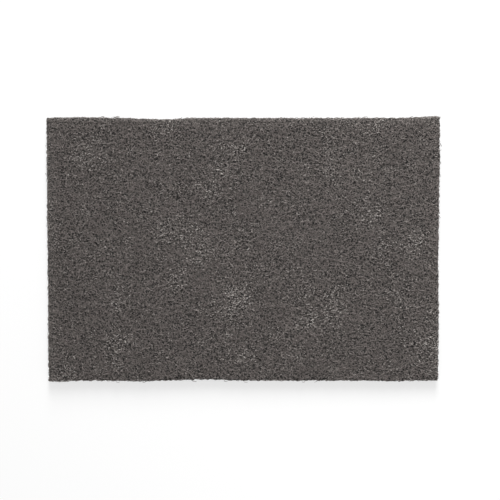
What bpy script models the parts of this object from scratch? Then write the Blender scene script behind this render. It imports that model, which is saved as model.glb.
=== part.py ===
"""Abrasive hand pad: one slab of springy non-woven web, cut to a rectangle.

Metres, +Z up. The pad lies flat on its underside. +X runs along its long side, +Y towards the long side
that has the hollow in its cut, and the origin is under its middle.
"""

import math

import bmesh
import bpy

# The slab
PAD_LENGTH = 0.229
PAD_WIDTH = 0.154
PAD_THICKNESS = 0.007

# The blade pinches the web, so both faces roll over towards the cut: the upper face widely, the lower less
UPPER_ROLL_REACH = 0.0030
UPPER_ROLL_DROP = 0.0012
LOWER_ROLL_REACH = 0.0014
LOWER_ROLL_RISE = 0.0008
ROLL_STEPS = 4

# The loft of the web varies, so its upper face has shallow hollows: a chequer of waves along X and Y, and one
# slanting wave over it
LOFT_SINK = 0.0005
LOFT_WAVE_X = 0.047
LOFT_WAVE_Y = 0.031
LOFT_WAVE_SLANT = 0.066
LOFT_PHASE_X = 0.7
LOFT_PHASE_SLANT = 2.1

# The mesh has about one point in each step of this length
FACE_STEP = 0.005

# Each cut wanders in swells: (middle, reach, height). Middle and reach are shares of half the side, with 0 at
# the side's middle and 1 at its +X or +Y end, and height is how far the cut stands out, in metres.
FAR_CUT = ((-0.82, 0.24, 0.0003), (-0.43, 0.20, -0.0009), (1.00, 0.22, 0.0009))
NEAR_CUT = ((-0.94, 0.14, 0.0006), (-0.55, 0.18, 0.0004), (-0.20, 0.24, -0.0006), (0.74, 0.11, 0.0004))
RIGHT_CUT = ((0.72, 0.26, 0.0003), (-0.06, 0.30, -0.0003), (-0.58, 0.24, 0.0002))
LEFT_CUT = ((-0.30, 0.36, -0.0001), (0.62, 0.30, 0.0001))

# Edges that turn more sharply than this are drawn as creases, in degrees
CREASE_ANGLE = 50

WEB_COLOUR = (0.086, 0.077, 0.073)
WEB_ROUGHNESS = 0.92


def swell(cut, place):
    """How far a wandering cut stands out at a place along its side."""
    out = 0.0
    for middle, reach, height in cut:
        off = abs(place - middle) / reach
        if off < 1.0:
            out += height * 0.5 * (1.0 + math.cos(math.pi * off))
    return out


def plan(u, v, inset):
    """The point of the slab's plan at u, v from -1 to 1, drawn in from the cuts by inset."""
    x = u * (PAD_LENGTH / 2 - inset)
    y = v * (PAD_WIDTH / 2 - inset)
    x += swell(RIGHT_CUT, v) * (1 + u) / 2 - swell(LEFT_CUT, v) * (1 - u) / 2
    y += swell(FAR_CUT, u) * (1 + v) / 2 - swell(NEAR_CUT, u) * (1 - v) / 2
    return x, y


def sink(x, y):
    """How far the upper face lies below the full thickness at x, y: never less than nothing."""
    turn = 2 * math.pi
    chequer = math.sin(turn * x / LOFT_WAVE_X + LOFT_PHASE_X) * math.cos(turn * y / LOFT_WAVE_Y)
    slant = math.sin(turn * (x + y) / LOFT_WAVE_SLANT + LOFT_PHASE_SLANT)
    return LOFT_SINK * (2 + chequer + slant) / 4


def quarter_roll(reach, rise):
    """Steps of a quarter ellipse from the flat face to the cut, as (inset, distance from the flat face)."""
    angles = [math.pi / 2 * step / ROLL_STEPS for step in range(ROLL_STEPS + 1)]
    return [(reach * (1 - math.sin(a)), rise * (1 - math.cos(a))) for a in angles]


def upper_face(bm):
    """The upper face as a grid, drawn in by the reach of its roll. Each vertex keeps its u and v."""
    columns = round(PAD_LENGTH / FACE_STEP)
    rows = round(PAD_WIDTH / FACE_STEP)
    bmesh.ops.create_grid(bm, x_segments=columns, y_segments=rows, size=1.0)
    keep_u = bm.verts.layers.float.new("u")
    keep_v = bm.verts.layers.float.new("v")
    for vert in bm.verts:
        vert[keep_u], vert[keep_v] = vert.co.x, vert.co.y
        x, y = plan(vert.co.x, vert.co.y, UPPER_ROLL_REACH)
        vert.co = (x, y, PAD_THICKNESS - sink(x, y))
    return keep_u, keep_v


def next_ring(bm, edges, keep_u, keep_v, inset, height):
    """Extrudes the open edges to a ring at that inset and height, and gives the new open edges."""
    made = bmesh.ops.extrude_edge_only(bm, edges=edges)["geom"]
    for vert in made:
        if isinstance(vert, bmesh.types.BMVert):
            vert.co = (*plan(vert[keep_u], vert[keep_v], inset), height)
    return [e for e in made if isinstance(e, bmesh.types.BMEdge) and e.is_boundary]


def slab_mesh():
    """The slab: the upper face, its roll, the cut wall, the lower roll and the flat underside."""
    bm = bmesh.new()
    keep_u, keep_v = upper_face(bm)
    upper = [(inset, PAD_THICKNESS - drop) for inset, drop in quarter_roll(UPPER_ROLL_REACH, UPPER_ROLL_DROP)]
    lower = list(reversed(quarter_roll(LOWER_ROLL_REACH, LOWER_ROLL_RISE)))
    edges = [edge for edge in bm.edges if edge.is_boundary]
    for inset, height in upper[1:] + lower:
        edges = next_ring(bm, edges, keep_u, keep_v, inset, height)
    bmesh.ops.contextual_create(bm, geom=edges)
    bmesh.ops.recalc_face_normals(bm, faces=bm.faces)
    centre_on_box(bm)
    mesh = bpy.data.meshes.new("slab")
    bm.to_mesh(mesh)
    bm.free()
    mesh.shade_smooth()
    mesh.set_sharp_from_angle(angle=math.radians(CREASE_ANGLE))
    return mesh


def centre_on_box(bm):
    """Slides the slab over so that the origin is under the middle of its box."""
    for axis in (0, 1):
        places = [vert.co[axis] for vert in bm.verts]
        middle = (min(places) + max(places)) / 2
        for vert in bm.verts:
            vert.co[axis] -= middle


def web_material():
    material = bpy.data.materials.new("bonded_web")
    material.use_nodes = True
    shader = material.node_tree.nodes["Principled BSDF"]
    shader.inputs["Base Color"].default_value = (*WEB_COLOUR, 1.0)
    shader.inputs["Roughness"].default_value = WEB_ROUGHNESS
    shader.inputs["Metallic"].default_value = 0.0
    return material


def main():
    for thing in list(bpy.data.objects):
        bpy.data.objects.remove(thing)
    pad = bpy.data.objects.new("abrasive_pad", slab_mesh())
    pad.data.materials.append(web_material())
    bpy.context.scene.collection.objects.link(pad)


main()
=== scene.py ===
"""Looks of the abrasive hand pad: a springy slab of crimped fibres, bonded with resin and grit, cut square.

The slab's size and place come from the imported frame. Here it gets its sunken web, the fibres that lie over
both faces and round the cuts, their materials, the floor, the light and the camera.
"""

import math

import bmesh
import bpy
import numpy as np
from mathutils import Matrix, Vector


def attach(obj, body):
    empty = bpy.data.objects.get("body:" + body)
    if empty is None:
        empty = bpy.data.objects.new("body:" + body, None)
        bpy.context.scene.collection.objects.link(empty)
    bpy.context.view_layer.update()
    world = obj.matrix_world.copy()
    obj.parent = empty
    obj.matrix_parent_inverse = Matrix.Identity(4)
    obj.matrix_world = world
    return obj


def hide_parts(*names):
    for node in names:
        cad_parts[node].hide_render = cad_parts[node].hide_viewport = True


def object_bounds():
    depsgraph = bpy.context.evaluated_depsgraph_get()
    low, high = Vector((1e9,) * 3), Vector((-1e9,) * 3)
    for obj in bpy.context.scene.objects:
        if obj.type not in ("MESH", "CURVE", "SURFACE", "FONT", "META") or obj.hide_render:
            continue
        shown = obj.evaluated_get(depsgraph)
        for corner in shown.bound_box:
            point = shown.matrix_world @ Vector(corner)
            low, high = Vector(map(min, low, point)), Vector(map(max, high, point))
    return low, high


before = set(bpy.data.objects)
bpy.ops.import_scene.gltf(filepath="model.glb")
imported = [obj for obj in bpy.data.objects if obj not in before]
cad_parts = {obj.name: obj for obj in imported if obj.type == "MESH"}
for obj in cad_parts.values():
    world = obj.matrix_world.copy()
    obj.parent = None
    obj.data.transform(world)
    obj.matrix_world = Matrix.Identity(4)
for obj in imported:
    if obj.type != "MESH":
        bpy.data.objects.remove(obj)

bl_info = {
    "name": "Abrasive Hand Pad",
    "version": (1, 0, 0),
    "blender": (4, 5, 0),
    "location": "3D View > Sidebar > Hand Pad",
    "description": "Builds the fibre web of an abrasive hand pad, its materials, floor, light and camera",
    "category": "Object",
}

NODE = "abrasive_pad"
BODY = "root"
CAD_LOW, CAD_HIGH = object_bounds()
MM = 0.001

# The sides of the slab that fibres are laid on, as the host mesh's "side" attribute numbers them. A face
# belongs to the upper side or to the underside where its normal is more upright than this.
UPPER, UNDER, CUT = 0, 1, 2
UPRIGHT = 0.7

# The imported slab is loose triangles: points nearer than this are one
MERGE_GAP = 0.001 * MM

# The sunken skin is drawn again with even faces, this long
SKIN_FACE = 1.2 * MM

# Where the upper face is napped and shows paler: x and y from the pad's middle and reach, in millimetres, and
# how much, from 0 to 1
NAPPED_SPOTS = (
    (-91, 56, 9, 0.7), (-2, 57, 6, 0.6), (-11, 46, 8, 0.7), (-20, 36, 7, 0.8), (-9, 1, 6, 0.6),
    (-46.6, 10.5, 8, 0.8), (-30, 6, 7, 0.8), (-27, -5, 7, 0.7), (-38.5, -21.7, 8, 0.6), (-4, -26, 8, 1.0),
    (-9, -37, 9, 0.9), (71, 50, 7, 0.4), (50.5, 47, 7, 0.6), (73, 21.6, 6, 0.8), (98.5, 4, 7, 1.0),
    (82, -1, 6, 0.7), (94, -27, 8, 0.5), (53, -32, 9, 0.8), (36, -42, 7, 0.9), (49, -44.5, 7, 0.6),
    (-72, -56, 8, 0.8), (0, -63, 6, 0.7), (110, -56, 10, 1.0), (-74, -30, 7, 0.6), (36, -25, 6, 0.6),
    (26, -64, 6, 0.6), (-104, -73, 7, 0.8), (-43, 74, 6, 0.7), (66, 74, 6, 0.7), (79, 74, 6, 0.7),
)

# Painted highlight along the upper rim, where the rolled edge would catch the light: how far in it reaches,
# and how much it shows at the far, the right and the left cut. The near rim has none.
RIM_LIGHT_REACH = 6 * MM
FAR_RIM_LIGHT, RIGHT_RIM_LIGHT, LEFT_RIM_LIGHT = 0.34, 0.14, 0.38

# Where the blade pulled tufts out of the far cut: the middle of each tuft's roots, and how far they spread
TUFTS = {"First Tuft": (-75.5 * MM, 77 * MM, 4 * MM), "Second Tuft": (67.5 * MM, 77 * MM, 4 * MM)}
TUFT_REACH = 3 * MM

# Each of a fibre's random numbers has a seed of its own, this far above the piece's
DRAWS = {"phase": 100, "wander": 200, "heading": 300, "level": 400, "bob": 500, "tone": 600, "girth": 700,
         "stray": 800}
PIECE_SEED_STEP = 1000
FULL_TURN = 2 * math.pi

# A fibre wanders by a slow noise. It reads a row of its own, among so many, and this much of it for each wave
# of its crimp.
WANDER_ROWS = 900.0
WANDER_SCALE = 0.6

# A fibre is a tube with so many sides, and its thickness lies between these shares of the usual one. On the
# map it has a cell of its own, with this share of the cell as a margin.
TUBE_SIDES = 3
THINNEST, THICKEST = 0.7, 1.3
CELL_MARGIN = 0.1

# Most of a noise texture's values lie between these
NOISE_LOW, NOISE_MIDDLE, NOISE_HIGH = 0.35, 0.5, 0.65

# Grit: how far apart its clumps are, and where a clump's edge begins and ends, as shares of that. Real grains
# are 0.05 mm, so only their clumps are drawn, about 1 mm wide. Their near-black is partly the grit's own
# colour and partly painted shade in the pits between fibres.
GRIT_PITCH = 1.7 * MM
GRIT_INNER = 0.24
GRIT_OUTER = 0.36

# Beads of resin: how far apart they are, and how X and Y are scaled first, so that they are longer along X,
# as the web was carded. Real beads are 0.2 to 0.5 mm: they are drawn coarser. Their pale highs are partly the
# coat's own paler flecks and partly painted glints.
BEAD_PITCH = 0.75 * MM
BEAD_SCALE = (0.68, 1.12, 1.0)

# The beads stand out more in some swells of the web than in others: how far apart the swells are, the least
# and the most, and what the nap adds
SWELL_PITCH = 9 * MM
BEADS_LEAST = 0.82
BEADS_MOST = 2.25
BEADS_IN_NAP = 1.88

# How pale the coat is, from 0 in the grit to 1 where it is gone: between the beads' lows and highs, and what
# the fibre's own tone and the nap add. Its highs are partly painted glints, its grit lows partly painted pit
# shade.
PALE_MIDDLE = 0.314
PALE_BY_TONE = 0.057
PALE_BY_NAP = 0.171

# The pad's colours on that scale
COAT_STOPS = (("deep", 0.086), ("coated", 0.235), ("coated", 0.50), ("pale", 0.67), ("bare", 0.90))

# The coat is rough in the grit, and less so up to where it is gone. Its relief has this height, and this
# share of that shows.
GRIT_ROUGHNESS = 0.95
BARE_ROUGHNESS = 0.5
RESIN_IOR = 1.5
COAT_RELIEF = 0.05 * MM
COAT_RELIEF_SHARE = 0.4

# Strands of the web below the drawn fibres: how far apart they are, and their roughness and relief. Real ones
# are 0.1 mm thick: they are drawn about 0.35 mm wide.
STRAND_PITCH = 0.7 * MM
STRAND_ROUGHNESS = 0.9
STRAND_RELIEF = 0.3 * MM
STRAND_RELIEF_SHARE = 0.8

# The white sweep: how far it reaches each way, and its colour for the light that it sheds on the pad. Where
# the camera sees it, it has a glow and the colour under the glow, which takes the pad's shadow.
SWEEP_REACH = 3.0
SWEEP = "#E7E7E7"
SWEEP_GLOW = 0.67
SWEEP_UNDER_GLOW = "#A1A1A1"
WHITE = "#FFFFFF"

# The camera: how far off it is, how far it leans towards +Y, and where the 500 pixel picture has the pad.
# The outline is drawn by the cuts at this height, below the rolled rim.
IMAGE_PIXELS = 500
PAD_MIDDLE_PIXEL = (243.3, 249.5)
PAD_LENGTH_PIXELS = 392.1
CAMERA_DISTANCE = 0.65
CAMERA_LEAN = math.radians(2.3)
OUTLINE_HEIGHT = 4.2 * MM
SENSOR = 36.0

# The soft light stands over the far side and is turned towards the right, where the pad is a little brighter
LAMP_SIDE = 1.1
LAMP_PLACE = Vector((0.12, 1.38, 0.88))
LAMP_AIM = Vector((2.3, 0.40, 0.0))


def linear(code):
    """An sRGB hex colour as the linear colour that Blender's sockets take."""
    parts = [int(code[i:i + 2], 16) / 255 for i in (1, 3, 5)]
    return (*[p / 12.92 if p <= 0.04045 else ((p + 0.055) / 1.055) ** 2.4 for p in parts], 1.0)


def add(tree, kind, inputs=None, **settings):
    """Adds a node. An input is named or numbered among those in use, and gets a value, a socket or a node."""
    node = tree.nodes.new(kind)
    for name, value in settings.items():
        setattr(node, name, value)
    ready = [socket for socket in node.inputs if socket.enabled]
    for key, source in (inputs or {}).items():
        socket = ready[key] if isinstance(key, int) else next(s for s in ready if s.name == key)
        if isinstance(source, bpy.types.Node):
            source = next(s for s in source.outputs if s.enabled)
        if isinstance(source, bpy.types.NodeSocket):
            tree.links.new(source, socket)
        else:
            socket.default_value = source
    return node


class PadFibres(bpy.types.PropertyGroup):
    """Sizes of the web's fibres."""

    thickness: bpy.props.FloatProperty(
        name="Fibre thickness", description="Drawn about three times the real 0.1 mm, so that it shows",
        default=0.30 * MM, unit="LENGTH")
    length: bpy.props.FloatProperty(
        name="Fibre length", description="Length of a fibre that lies in the face",
        default=4 * MM, unit="LENGTH")
    crimp: bpy.props.FloatProperty(
        name="Crimp length", description="Length of one wave of the crimp", default=5.5 * MM, unit="LENGTH")
    turn: bpy.props.FloatProperty(
        name="Crimp turn", description="How far the crimp turns a fibre to each side",
        default=1.1, unit="ROTATION")
    depth: bpy.props.FloatProperty(
        name="Web depth", description="How deep the lowest drawn fibres lie",
        default=0.45 * MM, unit="LENGTH")


class PadColours(bpy.types.PropertyGroup):
    """Colours of the web, some of them painted shade and painted highlight."""

    # Near-black under grit clumps: the grit's own colour, and also painted shade in the pits between fibres
    deep: bpy.props.FloatVectorProperty(
        name="Gritty fibre", description="Fibre under a clump of dark grit", subtype="COLOR", size=4,
        default=linear("#0B0A0A"))
    coated: bpy.props.FloatVectorProperty(
        name="Coated fibre", description="Fibre under resin and fine grit", subtype="COLOR", size=4,
        default=linear("#7E7673"))
    # The pale and bare fibre colours also carry painted glints; the pale one also the painted rim highlight
    pale: bpy.props.FloatVectorProperty(
        name="Pale fibre", description="Fibre where the coat is thin or cracked", subtype="COLOR", size=4,
        default=linear("#B0AAA5"))
    bare: bpy.props.FloatVectorProperty(
        name="Bare fibre", description="Fibre that has lost its coat", subtype="COLOR", size=4,
        default=linear("#D0CBC6"))
    # Painted shade: the near-black that stands for the shade in the pits between the web's strands
    pit_shade: bpy.props.FloatVectorProperty(
        name="Web in a pit", description="Web between the strands below the drawn fibres",
        subtype="COLOR", size=4, default=linear("#141312"))
    # The web's strands, darker than the coated fibre as painted shade of the layers above
    strand: bpy.props.FloatVectorProperty(
        name="Web strand", description="Strand of the web below the drawn fibres", subtype="COLOR", size=4,
        default=linear("#6C6662"))


class PadStage(bpy.types.PropertyGroup):
    """Light over the pad."""

    key: bpy.props.FloatProperty(
        name="Key light", description="Power of the large soft light over the far side",
        default=70.0, unit="POWER")
    sky: bpy.props.FloatProperty(name="Sky", description="Strength of the even light all round", default=0.38)


def nap_at(x, y):
    """How napped the upper face is at a place, from 0 to 1."""
    return max(much * math.exp(-((x / MM - spot_x) ** 2 + (y / MM - spot_y) ** 2) / reach ** 2)
               for spot_x, spot_y, reach, much in NAPPED_SPOTS)


def rim_light_at(x, y):
    """How much painted highlight lies along the upper rim at a place: most at the cut, nothing past its
    reach.
    """
    cuts = ((CAD_HIGH.y - y, FAR_RIM_LIGHT), (CAD_HIGH.x - x, RIGHT_RIM_LIGHT), (x - CAD_LOW.x, LEFT_RIM_LIGHT))
    return max(much * max(0.0, 1.0 - gap / RIM_LIGHT_REACH) for gap, much in cuts)


def slab_copy():
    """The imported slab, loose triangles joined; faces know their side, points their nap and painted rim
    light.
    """
    mesh = bpy.data.objects[NODE].data.copy()
    mesh.name = "slab_copy"
    bm = bmesh.new()
    bm.from_mesh(mesh)
    bmesh.ops.remove_doubles(bm, verts=bm.verts, dist=MERGE_GAP)
    side = bm.faces.layers.int.new("side")
    nap, rim = [bm.verts.layers.float.new(name) for name in ("nap", "rim")]
    for face in bm.faces:
        face.smooth = True
        face[side] = UPPER if face.normal.z > UPRIGHT else UNDER if face.normal.z < -UPRIGHT else CUT
    for vert in bm.verts:
        if vert.co.z > CAD_HIGH.z / 2:
            vert[nap] = nap_at(vert.co.x, vert.co.y)
            vert[rim] = rim_light_at(vert.co.x, vert.co.y)
    bm.to_mesh(mesh)
    bm.free()
    return mesh


def slab_host():
    """An object of the slab's own shape, for a tree to run on."""
    host = bpy.data.objects.new("host", slab_copy())
    bpy.context.scene.collection.objects.link(host)
    return host


def tree_with(name, inputs):
    """A new Geometry Nodes tree with its named inputs, and the sockets that give them.

    An input that every piece sets has None for its value here.
    """
    tree = bpy.data.node_groups.new(name, "GeometryNodeTree")
    tree.interface.new_socket(name="Geometry", in_out="INPUT", socket_type="NodeSocketGeometry")
    for label, (kind, value) in inputs.items():
        socket = tree.interface.new_socket(name=label, in_out="INPUT", socket_type=kind)
        if value is not None:
            socket.default_value = value
    tree.interface.new_socket(name="Geometry", in_out="OUTPUT", socket_type="NodeSocketGeometry")
    return tree, tree.nodes.new("NodeGroupInput").outputs


def end_tree(tree, given, geometry):
    """Ends a tree in plain geometry with its material."""
    solid = add(tree, "GeometryNodeRealizeInstances", {"Geometry": geometry})
    finished = add(tree, "GeometryNodeSetMaterial", {"Geometry": solid, "Material": given["Material"]})
    add(tree, "NodeGroupOutput", {"Geometry": finished})


def baked(host, tree, values, name):
    """Runs a tree on the host, gives the result as a plain mesh object of that name, and removes the host."""
    modifier = host.modifiers.new("nodes", "NODES")
    modifier.node_group = tree
    names = {s.name: s.identifier for s in tree.interface.items_tree if s.in_out == "INPUT"}
    for label, value in values.items():
        modifier[names[label]] = value
    graph = bpy.context.evaluated_depsgraph_get()
    mesh = bpy.data.meshes.new_from_object(host.evaluated_get(graph))
    mesh.name = name
    mesh.shade_smooth()
    host.modifiers.remove(modifier)
    bpy.data.objects.remove(host)
    piece = bpy.data.objects.new(name, mesh)
    bpy.context.scene.collection.objects.link(piece)
    return piece


def chance(tree, given, low, high, draw):
    """A random number that stays the same all along one fibre."""
    fibre = add(tree, "GeometryNodeInputNamedAttribute", {"Name": "fibre"}, data_type="INT")
    seed = add(tree, "ShaderNodeMath", {0: given["Seed"], 1: float(DRAWS[draw])}, operation="ADD")
    return add(tree, "FunctionNodeRandomValue", {"Min": low, "Max": high, "ID": fibre, "Seed": seed},
               data_type="FLOAT")


def stray_share(tree, given):
    """What share of the fibres rooted at each place stand out: few all over, and most in the tufts."""
    place = add(tree, "GeometryNodeInputPosition")
    share = given["Stray"]
    for label in TUFTS:
        gap = add(tree, "ShaderNodeVectorMath", {0: place, 1: given[label]}, operation="DISTANCE")
        tuft = add(tree, "ShaderNodeMapRange", {
            "Value": gap, "From Max": given["Tuft Reach"], "To Min": 1.0, "To Max": 0.0})
        share = add(tree, "ShaderNodeMath", {0: share, 1: tuft}, operation="ADD")
    return share


def sow(tree, given):
    """Sows roots on one side. Each becomes the points of a fibre, which know how far along it they are."""
    side = add(tree, "GeometryNodeInputNamedAttribute", {"Name": "side"}, data_type="INT")
    on_side = add(tree, "FunctionNodeCompare", {0: side, 1: given["Side"]},
                  data_type="INT", operation="EQUAL")
    roots = add(tree, "GeometryNodeDistributePointsOnFaces", {
        "Mesh": given["Geometry"], "Selection": on_side, "Distance Min": given["Spacing"],
        "Density Max": given["Density"], "Seed": given["Seed"]}, distribute_method="POISSON")
    roots = add(tree, "GeometryNodeStoreNamedAttribute", {
        "Geometry": roots, "Name": "stray", "Value": stray_share(tree, given)},
        data_type="FLOAT", domain="POINT")
    points = add(tree, "GeometryNodeDuplicateElements", {"Geometry": roots, "Amount": given["Steps"]},
                 domain="POINT")
    index = add(tree, "GeometryNodeInputIndex")
    fibre = add(tree, "ShaderNodeMath", {0: index, 1: given["Steps"]}, operation="DIVIDE")
    fibre = add(tree, "ShaderNodeMath", {0: fibre}, operation="FLOOR")
    last = add(tree, "ShaderNodeMath", {0: given["Steps"], 1: 1.0}, operation="SUBTRACT")
    along = add(tree, "ShaderNodeMath", {0: points.outputs["Duplicate Index"], 1: last}, operation="DIVIDE")
    points = add(tree, "GeometryNodeStoreNamedAttribute", {
        "Geometry": points, "Name": "fibre", "Value": fibre}, data_type="INT", domain="POINT")
    return add(tree, "GeometryNodeStoreNamedAttribute", {
        "Geometry": points, "Name": "along", "Value": along}, data_type="FLOAT", domain="POINT")


def crimped_heading(tree, given, waves):
    """The way that a fibre heads at each point: it swings with the crimp, and wanders."""
    phase = chance(tree, given, 0.0, FULL_TURN, "phase")
    swing = add(tree, "ShaderNodeMath", {0: waves, 1: FULL_TURN, 2: phase}, operation="MULTIPLY_ADD")
    swing = add(tree, "ShaderNodeMath", {0: swing}, operation="SINE")
    own_row = chance(tree, given, 0.0, WANDER_ROWS, "wander")
    place = add(tree, "ShaderNodeCombineXYZ", {"X": waves, "Y": own_row})
    wander = add(tree, "ShaderNodeTexNoise", {"Vector": place, "Scale": WANDER_SCALE, "Detail": 1.0},
                 noise_dimensions="2D")
    wander = add(tree, "ShaderNodeMath", {0: wander, 1: NOISE_MIDDLE}, operation="SUBTRACT")
    start = chance(tree, given, -1.0, 1.0, "heading")
    start = add(tree, "ShaderNodeMath", {0: start, 1: given["Spread"]}, operation="MULTIPLY")
    heading = add(tree, "ShaderNodeMath", {0: swing, 1: given["Turn"], 2: start}, operation="MULTIPLY_ADD")
    return add(tree, "ShaderNodeMath", {0: wander, 1: given["Wander"], 2: heading}, operation="MULTIPLY_ADD")


def strides(tree, given, heading, normal):
    """How far each point lies from its root, by steps in the slab's surface at the heading from the grain."""
    last = add(tree, "ShaderNodeMath", {0: given["Steps"], 1: 1.0}, operation="SUBTRACT")
    stride = add(tree, "ShaderNodeMath", {0: given["Length"], 1: last}, operation="DIVIDE")
    across = add(tree, "ShaderNodeVectorMath", {0: given["Grain"], 1: normal}, operation="CROSS_PRODUCT")
    across = add(tree, "ShaderNodeVectorMath", {0: across}, operation="NORMALIZE")
    up = add(tree, "ShaderNodeVectorMath", {0: normal, 1: across}, operation="CROSS_PRODUCT")
    cosine = add(tree, "ShaderNodeMath", {0: heading}, operation="COSINE")
    sine = add(tree, "ShaderNodeMath", {0: heading}, operation="SINE")
    first = add(tree, "ShaderNodeVectorMath", {0: across, "Scale": cosine}, operation="SCALE")
    second = add(tree, "ShaderNodeVectorMath", {0: up, "Scale": sine}, operation="SCALE")
    step = add(tree, "ShaderNodeVectorMath", {0: first, 1: second}, operation="ADD")
    step = add(tree, "ShaderNodeVectorMath", {0: step, "Scale": stride}, operation="SCALE")
    fibre = add(tree, "GeometryNodeInputNamedAttribute", {"Name": "fibre"}, data_type="INT")
    gone = add(tree, "GeometryNodeAccumulateField", {"Value": step, "Group ID": fibre},
               data_type="FLOAT_VECTOR", domain="POINT")
    return gone.outputs["Trailing"]


def depth_below(tree, given, waves, along):
    """How deep each point lies: its fibre's own level, a small bob, and ends that bow down into the web."""
    level = chance(tree, given, 0.0, 1.0, "level")
    level = add(tree, "ShaderNodeMapRange", {
        "Value": level, "To Min": given["Shallow"], "To Max": given["Deep"]})
    start = chance(tree, given, 0.0, FULL_TURN, "bob")
    bob = add(tree, "ShaderNodeMath", {0: waves, 1: given["Bob Rate"], 2: start}, operation="MULTIPLY_ADD")
    bob = add(tree, "ShaderNodeMath", {0: bob}, operation="SINE")
    depth = add(tree, "ShaderNodeMath", {0: bob, 1: given["Bob"], 2: level}, operation="MULTIPLY_ADD")
    ends = add(tree, "ShaderNodeMath", {0: along, 1: 2.0, 2: -1.0}, operation="MULTIPLY_ADD")
    ends = add(tree, "ShaderNodeMath", {0: ends, 1: ends}, operation="MULTIPLY")
    return add(tree, "ShaderNodeMath", {0: ends, 1: given["Bow"], 2: depth}, operation="MULTIPLY_ADD")


def rise_above(tree, given, run, nap):
    """How far each point is lifted: stray fibres and those in the nap rise evenly along their run."""
    share = add(tree, "GeometryNodeInputNamedAttribute", {"Name": "stray"}, data_type="FLOAT")
    draw = chance(tree, given, 0.0, 1.0, "stray")
    strays = add(tree, "ShaderNodeMath", {0: draw, 1: share}, operation="LESS_THAN")
    slope = add(tree, "ShaderNodeMath", {0: strays, 1: given["Stray Rise"]}, operation="MULTIPLY")
    slope = add(tree, "ShaderNodeMath", {0: nap, 1: given["Nap Rise"], 2: slope}, operation="MULTIPLY_ADD")
    return add(tree, "ShaderNodeMath", {0: slope, 1: run}, operation="MULTIPLY")


def seat(tree, given, points, normal, height):
    """Trims what runs past the cuts, and draws the rest onto the slab at its height, clear of the floor."""
    near = add(tree, "GeometryNodeProximity", {"Geometry": given["Geometry"]}, target_element="FACES")
    outside = add(tree, "FunctionNodeCompare", {0: near.outputs["Distance"], 1: given["Trim"]},
                  data_type="FLOAT", operation="GREATER_THAN")
    points = add(tree, "GeometryNodeDeleteGeometry", {"Geometry": points, "Selection": outside},
                 domain="POINT")
    shift = add(tree, "ShaderNodeVectorMath", {0: normal, "Scale": height}, operation="SCALE")
    place = add(tree, "ShaderNodeVectorMath", {0: near.outputs["Position"], 1: shift}, operation="ADD")
    parts = add(tree, "ShaderNodeSeparateXYZ", {0: place})
    above = add(tree, "ShaderNodeMath", {0: parts.outputs["Z"], 1: given["Lowest"]}, operation="MAXIMUM")
    place = add(tree, "ShaderNodeCombineXYZ", {"X": parts.outputs["X"], "Y": parts.outputs["Y"], "Z": above})
    return add(tree, "GeometryNodeSetPosition", {"Geometry": points, "Position": place})


def tubes(tree, given, points, along):
    """Makes each fibre's points a fine tube with closed ends, some thicker than others."""
    fibre = add(tree, "GeometryNodeInputNamedAttribute", {"Name": "fibre"}, data_type="INT")
    curves = add(tree, "GeometryNodePointsToCurves", {
        "Points": points, "Curve Group ID": fibre, "Weight": along})
    # A ring one metre across, which the scale brings down to the fibre's own thickness
    ring = add(tree, "GeometryNodeCurvePrimitiveCircle", {"Resolution": TUBE_SIDES, "Radius": 0.5},
               mode="RADIUS")
    corner = add(tree, "GeometryNodeInputIndex")
    ring = add(tree, "GeometryNodeStoreNamedAttribute", {
        "Geometry": ring, "Name": "around", "Value": corner}, data_type="INT", domain="POINT")
    girth = chance(tree, given, THINNEST, THICKEST, "girth")
    girth = add(tree, "ShaderNodeMath", {0: given["Thickness"], 1: girth}, operation="MULTIPLY")
    return add(tree, "GeometryNodeCurveToMesh", {
        "Curve": curves, "Profile Curve": ring, "Scale": girth, "Fill Caps": True})


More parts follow.
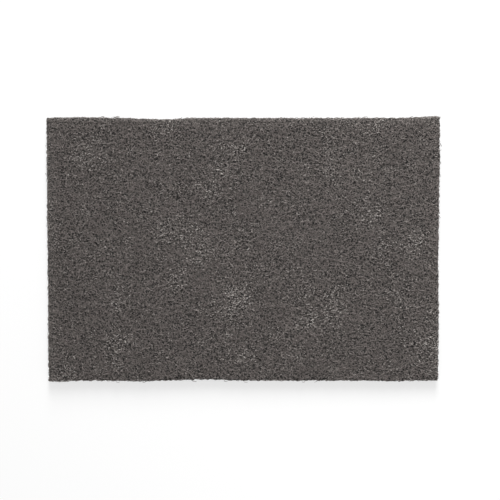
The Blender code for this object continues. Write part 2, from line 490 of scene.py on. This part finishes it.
def fibre_tree():
    """Lays crimped fibres along one side of the slab, each a fine closed tube that follows the surface."""
    real, whole = "NodeSocketFloat", "NodeSocketInt"
    tree, given = tree_with("laid_fibres", {
        "Side": (whole, None), "Seed": (whole, None), "Steps": (whole, 5),
        "Spacing": (real, 1.85 * MM), "Density": (real, 1500000.0), "Trim": (real, 1.2 * MM),
        "Length": (real, None), "Thickness": (real, None), "Crimp": (real, None), "Turn": (real, None),
        "Wander": (real, 2.2), "Spread": (real, 1.0), "Grain": ("NodeSocketVector", (0.0, 1.0, 0.0)),
        "Shallow": (real, 0.0), "Deep": (real, None), "Lowest": (real, 0.2 * MM),
        "Bob": (real, 0.15 * MM), "Bob Rate": (real, 4.1), "Bow": (real, 0.5 * MM),
        "Stray": (real, 0.03), "Stray Rise": (real, 0.3), "Nap Rise": (real, 0.05),
        **{label: ("NodeSocketVector", place) for label, place in TUFTS.items()},
        "Tuft Reach": (real, TUFT_REACH), "Material": ("NodeSocketMaterial", None)})
    along = add(tree, "GeometryNodeInputNamedAttribute", {"Name": "along"}, data_type="FLOAT")
    run = add(tree, "ShaderNodeMath", {0: along, 1: given["Length"]}, operation="MULTIPLY")
    waves = add(tree, "ShaderNodeMath", {0: run, 1: given["Crimp"]}, operation="DIVIDE")

    # The slab's own normal, its nap and its painted rim highlight, at the place on it that is nearest to each
    # point
    own = add(tree, "GeometryNodeInputNormal")
    normal = add(tree, "GeometryNodeSampleNearestSurface", {"Mesh": given["Geometry"], "Value": own},
                 data_type="FLOAT_VECTOR")
    nap_and_rim_light = {}
    for name in ("nap", "rim"):
        own = add(tree, "GeometryNodeInputNamedAttribute", {"Name": name}, data_type="FLOAT")
        nap_and_rim_light[name] = add(tree, "GeometryNodeSampleNearestSurface", {
            "Mesh": given["Geometry"], "Value": own}, data_type="FLOAT")

    heading = crimped_heading(tree, given, waves)
    points = add(tree, "GeometryNodeSetPosition", {
        "Geometry": sow(tree, given), "Offset": strides(tree, given, heading, normal)})
    rise = rise_above(tree, given, run, nap_and_rim_light["nap"])
    depth = depth_below(tree, given, waves, along)
    height = add(tree, "ShaderNodeMath", {0: rise, 1: depth}, operation="SUBTRACT")
    points = seat(tree, given, points, normal, height)

    # What the material reads: the fibre's own tone, the nap there and the painted highlight along the rim
    tone = chance(tree, given, 0.0, 1.0, "tone")
    for name, value in {"tone": tone, **nap_and_rim_light}.items():
        points = add(tree, "GeometryNodeStoreNamedAttribute", {
            "Geometry": points, "Name": name, "Value": value}, data_type="FLOAT", domain="POINT")
    end_tree(tree, given, tubes(tree, given, points, along))
    return tree


def map_fibres(mesh):
    """A map with a cell for each fibre, its length across the cell and its girth up it, for baking."""
    corners = np.zeros(len(mesh.loops), np.int32)
    mesh.loops.foreach_get("vertex_index", corners)
    fields = {}
    for name, kind in (("fibre", np.int32), ("along", np.float32), ("around", np.int32)):
        values = np.zeros(len(mesh.vertices), kind)
        mesh.attributes[name].data.foreach_get("value", values)
        fields[name] = values[corners]
    starts = np.zeros(len(mesh.polygons), np.int32)
    sizes = np.zeros(len(mesh.polygons), np.int32)
    mesh.polygons.foreach_get("loop_start", starts)
    mesh.polygons.foreach_get("loop_total", sizes)
    # A tube's four-cornered face from its last side round to its first ends at the cell's top, not its foot
    around = fields["around"].astype(np.float32)
    face_of = np.repeat(np.arange(len(starts)), sizes)
    highest = np.maximum.reduceat(around, starts)[face_of]
    lowest = np.minimum.reduceat(around, starts)[face_of]
    wraps = (highest - lowest == TUBE_SIDES - 1) & (sizes[face_of] == 4)
    around[wraps & (around == 0)] = TUBE_SIDES
    names, cell = np.unique(fields["fibre"], return_inverse=True)
    columns = math.ceil(math.sqrt(len(names)))
    inner = 1 - 2 * CELL_MARGIN
    u = (cell % columns + CELL_MARGIN + inner * fields["along"]) / columns
    v = (cell // columns + CELL_MARGIN + inner * around / TUBE_SIDES) / columns
    layer = mesh.uv_layers.new(name="OFBake")
    layer.data.foreach_set("uv", np.stack([u, v], 1).astype(np.float32).ravel())
    for name in ("around", "along", "stray"):
        mesh.attributes.remove(mesh.attributes[name])


def lay(names, values):
    """Lays each named piece of fibres on the slab, each from a seed of its own."""
    tree = fibre_tree()
    for number, name in enumerate(names):
        seed = values["Seed"] + PIECE_SEED_STEP * number
        piece = baked(slab_host(), tree, {**values, "Seed": seed}, name)
        map_fibres(piece.data)
        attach(piece, BODY)


def new_material(name):
    """A material with an empty node tree."""
    material = bpy.data.materials.new(name)
    material.use_nodes = True
    material.node_tree.nodes.clear()
    return material, material.node_tree


def grit(tree, place):
    """Nought in small clumps of grit, which also paint the shade in pits, one elsewhere."""
    clumps = add(tree, "ShaderNodeTexVoronoi", {"Vector": place, "Scale": 1 / GRIT_PITCH})
    return add(tree, "ShaderNodeMapRange", {
        "Value": clumps.outputs["Distance"], "From Min": GRIT_INNER, "From Max": GRIT_OUTER})


def paleness(tree, place):
    """Coat paleness from resin beads, own tone, nap and grit, with painted glints and painted pit shade."""
    drawn = add(tree, "ShaderNodeVectorMath", {0: place, 1: BEAD_SCALE}, operation="MULTIPLY")
    beads = add(tree, "ShaderNodeTexNoise", {"Vector": drawn, "Scale": 1 / BEAD_PITCH, "Detail": 1.0})
    swells = add(tree, "ShaderNodeTexNoise", {"Vector": place, "Scale": 1 / SWELL_PITCH, "Detail": 1.0})
    gain = add(tree, "ShaderNodeMapRange", {
        "Value": swells, "From Min": NOISE_LOW, "From Max": NOISE_HIGH,
        "To Min": BEADS_LEAST, "To Max": BEADS_MOST})
    nap = add(tree, "ShaderNodeAttribute", attribute_name="nap").outputs["Fac"]
    gain = add(tree, "ShaderNodeMath", {0: nap, 1: BEADS_IN_NAP, 2: gain}, operation="MULTIPLY_ADD")
    off = add(tree, "ShaderNodeMath", {0: beads, 1: NOISE_MIDDLE}, operation="SUBTRACT")
    pale = add(tree, "ShaderNodeMath", {0: off, 1: gain, 2: PALE_MIDDLE}, operation="MULTIPLY_ADD")
    tone = add(tree, "ShaderNodeAttribute", attribute_name="tone").outputs["Fac"]
    pale = add(tree, "ShaderNodeMath", {0: tone, 1: PALE_BY_TONE, 2: pale}, operation="MULTIPLY_ADD")
    pale = add(tree, "ShaderNodeMath", {0: nap, 1: PALE_BY_NAP, 2: pale}, operation="MULTIPLY_ADD")
    return add(tree, "ShaderNodeMath", {0: pale, 1: grit(tree, place)}, operation="MULTIPLY")


def fibre_material(colours):
    """Crimped nylon staple, sprayed with phenolic resin and silicon carbide grit: dull, small glints partly
    painted.
    """
    material, tree = new_material("resin_coated_nylon")
    place = add(tree, "ShaderNodeTexCoord").outputs["Object"]
    pale = paleness(tree, place)
    coat = add(tree, "ShaderNodeValToRGB", {"Fac": pale})
    stops = coat.color_ramp.elements
    for name, at in COAT_STOPS:
        stops.new(at).color = getattr(colours, name)
    # A new ramp's own two stops, at 0 and 1, go
    stops.remove(stops[-1])
    stops.remove(stops[0])
    # Painted highlight along the upper rim: the colour is mixed towards the pale fibre there
    rim = add(tree, "ShaderNodeAttribute", attribute_name="rim").outputs["Fac"]
    colour = add(tree, "ShaderNodeMix", {"Factor": rim, "A": coat, "B": colours.pale}, data_type="RGBA")
    roughness = add(tree, "ShaderNodeMapRange", {
        "Value": pale, "To Min": GRIT_ROUGHNESS, "To Max": BARE_ROUGHNESS})
    bump = add(tree, "ShaderNodeBump", {
        "Strength": COAT_RELIEF_SHARE, "Distance": COAT_RELIEF, "Height": pale})
    shader = add(tree, "ShaderNodeBsdfPrincipled", {
        "Base Color": colour, "Roughness": roughness, "IOR": RESIN_IOR, "Normal": bump})
    add(tree, "ShaderNodeOutputMaterial", {"Surface": shader})
    return material


def web_material(colours):
    """The same nylon web below the drawn fibres: darker, as each layer shades the next, with no glints."""
    material, tree = new_material("shaded_nylon_web")
    place = add(tree, "ShaderNodeTexCoord").outputs["Object"]
    strands = add(tree, "ShaderNodeTexNoise", {"Vector": place, "Scale": 1 / STRAND_PITCH, "Detail": 1.0})
    strands = add(tree, "ShaderNodeMapRange", {
        "Value": strands, "From Min": NOISE_LOW, "From Max": NOISE_HIGH})
    strands = add(tree, "ShaderNodeMath", {0: strands, 1: grit(tree, place)}, operation="MULTIPLY")
    # Painted shade: pits take the near-black, strands the darker web colour
    colour = add(tree, "ShaderNodeMix", {"Factor": strands, "A": colours.pit_shade, "B": colours.strand},
                 data_type="RGBA")
    bump = add(tree, "ShaderNodeBump", {
        "Strength": STRAND_RELIEF_SHARE, "Distance": STRAND_RELIEF, "Height": strands})
    shader = add(tree, "ShaderNodeBsdfPrincipled", {
        "Base Color": colour, "Roughness": STRAND_ROUGHNESS, "Normal": bump})
    add(tree, "ShaderNodeOutputMaterial", {"Surface": shader})
    return material


def sunken_tree():
    """Sinks the slab's skin into pits between lumps of matted fibre."""
    real = "NodeSocketFloat"
    tree, given = tree_with("sunken_web", {
        "Inset": (real, 0.30 * MM), "Lump Size": (real, 3.2 * MM), "Lump Depth": (real, 0.5 * MM),
        "Material": ("NodeSocketMaterial", None)})
    place = add(tree, "GeometryNodeInputPosition")
    pitch = add(tree, "ShaderNodeMath", {0: 1.0, 1: given["Lump Size"]}, operation="DIVIDE")
    lumps = add(tree, "ShaderNodeTexNoise", {"Vector": place, "Scale": pitch, "Detail": 2.0})
    sunk = add(tree, "ShaderNodeMath", {0: lumps, 1: given["Lump Depth"], 2: given["Inset"]},
               operation="MULTIPLY_ADD")
    down = add(tree, "ShaderNodeMath", {0: sunk, 1: -1.0}, operation="MULTIPLY")
    normal = add(tree, "GeometryNodeInputNormal")
    shift = add(tree, "ShaderNodeVectorMath", {0: normal, "Scale": down}, operation="SCALE")
    moved = add(tree, "GeometryNodeSetPosition", {"Geometry": given["Geometry"], "Offset": shift})
    end_tree(tree, given, moved)
    return tree


class PAD_OT_web(bpy.types.Operator):
    """Build the sunken web that stands for the slab"""

    bl_idname = "hand_pad.web"
    bl_label = "Web"

    def execute(self, context):
        host = slab_host()
        remesh = host.modifiers.new("even_skin", "REMESH")
        remesh.mode = "VOXEL"
        remesh.voxel_size = SKIN_FACE
        material = web_material(context.scene.pad_colours)
        web = baked(host, sunken_tree(), {"Material": material}, "matted_web")
        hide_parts(NODE)
        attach(web, BODY)
        return {"FINISHED"}


class PAD_OT_fibres(bpy.types.Operator):
    """Lay the fibres of both faces and of the cuts"""

    bl_idname = "hand_pad.fibres"
    bl_label = "Fibres"

    def execute(self, context):
        sizes = context.scene.pad_fibres
        shared = {"Material": fibre_material(context.scene.pad_colours), "Thickness": sizes.thickness,
                  "Length": sizes.length, "Crimp": sizes.crimp, "Turn": sizes.turn, "Deep": sizes.depth}
        lay(["upper_fibres_a", "upper_fibres_b", "upper_fibres_c", "upper_fibres_d"], {
            **shared, "Side": UPPER, "Seed": 1})
        lay(["under_fibres"], {
            **shared, "Side": UNDER, "Seed": 11, "Spacing": 2.7 * MM, "Density": 1000000.0,
            "Shallow": 0.25 * MM})
        lay(["cut_fibres"], {
            **shared, "Side": CUT, "Seed": 21, "Spacing": 1.1 * MM, "Density": 2500000.0, "Spread": 0.5,
            "Stray": 0.01, "Grain": (0.0, 0.0, -1.0)})
        return {"FINISHED"}


class PAD_OT_stage(bpy.types.Operator):
    """Set the floor, the light and the camera"""

    bl_idname = "hand_pad.stage"
    bl_label = "Stage"

    def execute(self, context):
        scene = context.scene
        set_floor(scene)
        set_key_light(scene)
        set_sky(scene)
        set_camera(scene)
        scene.view_settings.view_transform = "Standard"
        return {"FINISHED"}


def in_sight(tree):
    """One for what the camera sees, straight, by gloss or through glass, and nought for the light shed."""
    path = add(tree, "ShaderNodeLightPath")
    sight = path.outputs["Is Camera Ray"]
    for way in ("Is Glossy Ray", "Is Transmission Ray"):
        sight = add(tree, "ShaderNodeMath", {0: sight, 1: path.outputs[way]}, operation="MAXIMUM")
    return sight


def floor_material():
    """Matt white paper sweep: the camera sees it white but for the pad's shadow."""
    material, tree = new_material("white_sweep")
    lit = add(tree, "ShaderNodeBsdfDiffuse", {"Color": linear(SWEEP)})
    glow = add(tree, "ShaderNodeEmission", {"Color": linear(WHITE), "Strength": SWEEP_GLOW})
    dim = add(tree, "ShaderNodeBsdfDiffuse", {"Color": linear(SWEEP_UNDER_GLOW)})
    shown = add(tree, "ShaderNodeAddShader", {0: glow, 1: dim})
    mix = add(tree, "ShaderNodeMixShader", {0: in_sight(tree), 1: lit, 2: shown})
    add(tree, "ShaderNodeOutputMaterial", {"Surface": mix})
    return material


def set_floor(scene):
    """The white sweep that the pad lies on."""
    mesh = bpy.data.meshes.new("floor")
    corners = [(x * SWEEP_REACH, y * SWEEP_REACH, 0) for x, y in ((-1, -1), (1, -1), (1, 1), (-1, 1))]
    mesh.from_pydata(corners, [], [(0, 1, 2, 3)])
    mesh.materials.append(floor_material())
    floor = bpy.data.objects.new("floor", mesh)
    scene.collection.objects.link(floor)


def set_key_light(scene):
    """The large soft light."""
    lamp = bpy.data.lights.new("key", "AREA")
    lamp.size = LAMP_SIDE
    lamp.energy = scene.pad_stage.key
    key = bpy.data.objects.new("key", lamp)
    key.location = LAMP_PLACE
    key.rotation_euler = (LAMP_AIM - LAMP_PLACE).to_track_quat("-Z", "Y").to_euler()
    scene.collection.objects.link(key)


def set_sky(scene):
    """Even light all round, which the camera sees as white."""
    world = bpy.data.worlds.new("studio")
    scene.world = world
    world.use_nodes = True
    tree = world.node_tree
    tree.nodes.clear()
    strength = add(tree, "ShaderNodeMix", {"Factor": in_sight(tree), "A": scene.pad_stage.sky, "B": 1.0})
    backdrop = add(tree, "ShaderNodeBackground", {"Color": linear(WHITE), "Strength": strength})
    add(tree, "ShaderNodeOutputWorld", {"Surface": backdrop})


def set_camera(scene):
    """The camera hangs over the pad, leaning a little to +Y, with the pad where the photograph has it."""
    data = bpy.data.cameras.new("camera")
    camera = bpy.data.objects.new("camera", data)
    scene.collection.objects.link(camera)
    scene.camera = camera
    data.sensor_width = SENSOR
    # Pixels per metre at the pad's middle, and how far the camera's axis passes from it
    scale = PAD_LENGTH_PIXELS / (CAD_HIGH.x - CAD_LOW.x)
    data.lens = scale * CAMERA_DISTANCE * SENSOR / IMAGE_PIXELS
    off_x = (IMAGE_PIXELS / 2 - PAD_MIDDLE_PIXEL[0]) / scale
    off_y = (PAD_MIDDLE_PIXEL[1] - IMAGE_PIXELS / 2) / scale
    camera.rotation_euler = (-CAMERA_LEAN, 0, 0)
    back = Vector((0, math.sin(CAMERA_LEAN), math.cos(CAMERA_LEAN)))
    up = Vector((0, math.cos(CAMERA_LEAN), -math.sin(CAMERA_LEAN)))
    camera.location = Vector((off_x, 0, OUTLINE_HEIGHT)) + back * CAMERA_DISTANCE + up * off_y


class PAD_PT_panel(bpy.types.Panel):
    """Lists the pad's sizes, colours and steps"""

    bl_idname = "PAD_PT_panel"
    bl_label = "Hand Pad"
    bl_space_type = "VIEW_3D"
    bl_region_type = "UI"
    bl_category = "Hand Pad"

    def draw(self, context):
        for group in (context.scene.pad_fibres, context.scene.pad_colours, context.scene.pad_stage):
            box = self.layout.box()
            for name in group.__annotations__:
                box.prop(group, name)
        for step in (PAD_OT_web, PAD_OT_fibres, PAD_OT_stage):
            self.layout.operator(step.bl_idname)


GROUPS = {"pad_fibres": PadFibres, "pad_colours": PadColours, "pad_stage": PadStage}
CLASSES = (PAD_OT_web, PAD_OT_fibres, PAD_OT_stage, PAD_PT_panel)


def register():
    for name, group in GROUPS.items():
        bpy.utils.register_class(group)
        setattr(bpy.types.Scene, name, bpy.props.PointerProperty(type=group))
    for kind in CLASSES:
        bpy.utils.register_class(kind)


def unregister():
    for kind in reversed(CLASSES):
        bpy.utils.unregister_class(kind)
    for name, group in GROUPS.items():
        delattr(bpy.types.Scene, name)
        bpy.utils.unregister_class(group)


def main():
    register()
    bpy.ops.hand_pad.web()
    bpy.ops.hand_pad.fibres()
    bpy.ops.hand_pad.stage()


if __name__ == "__main__":
    main()
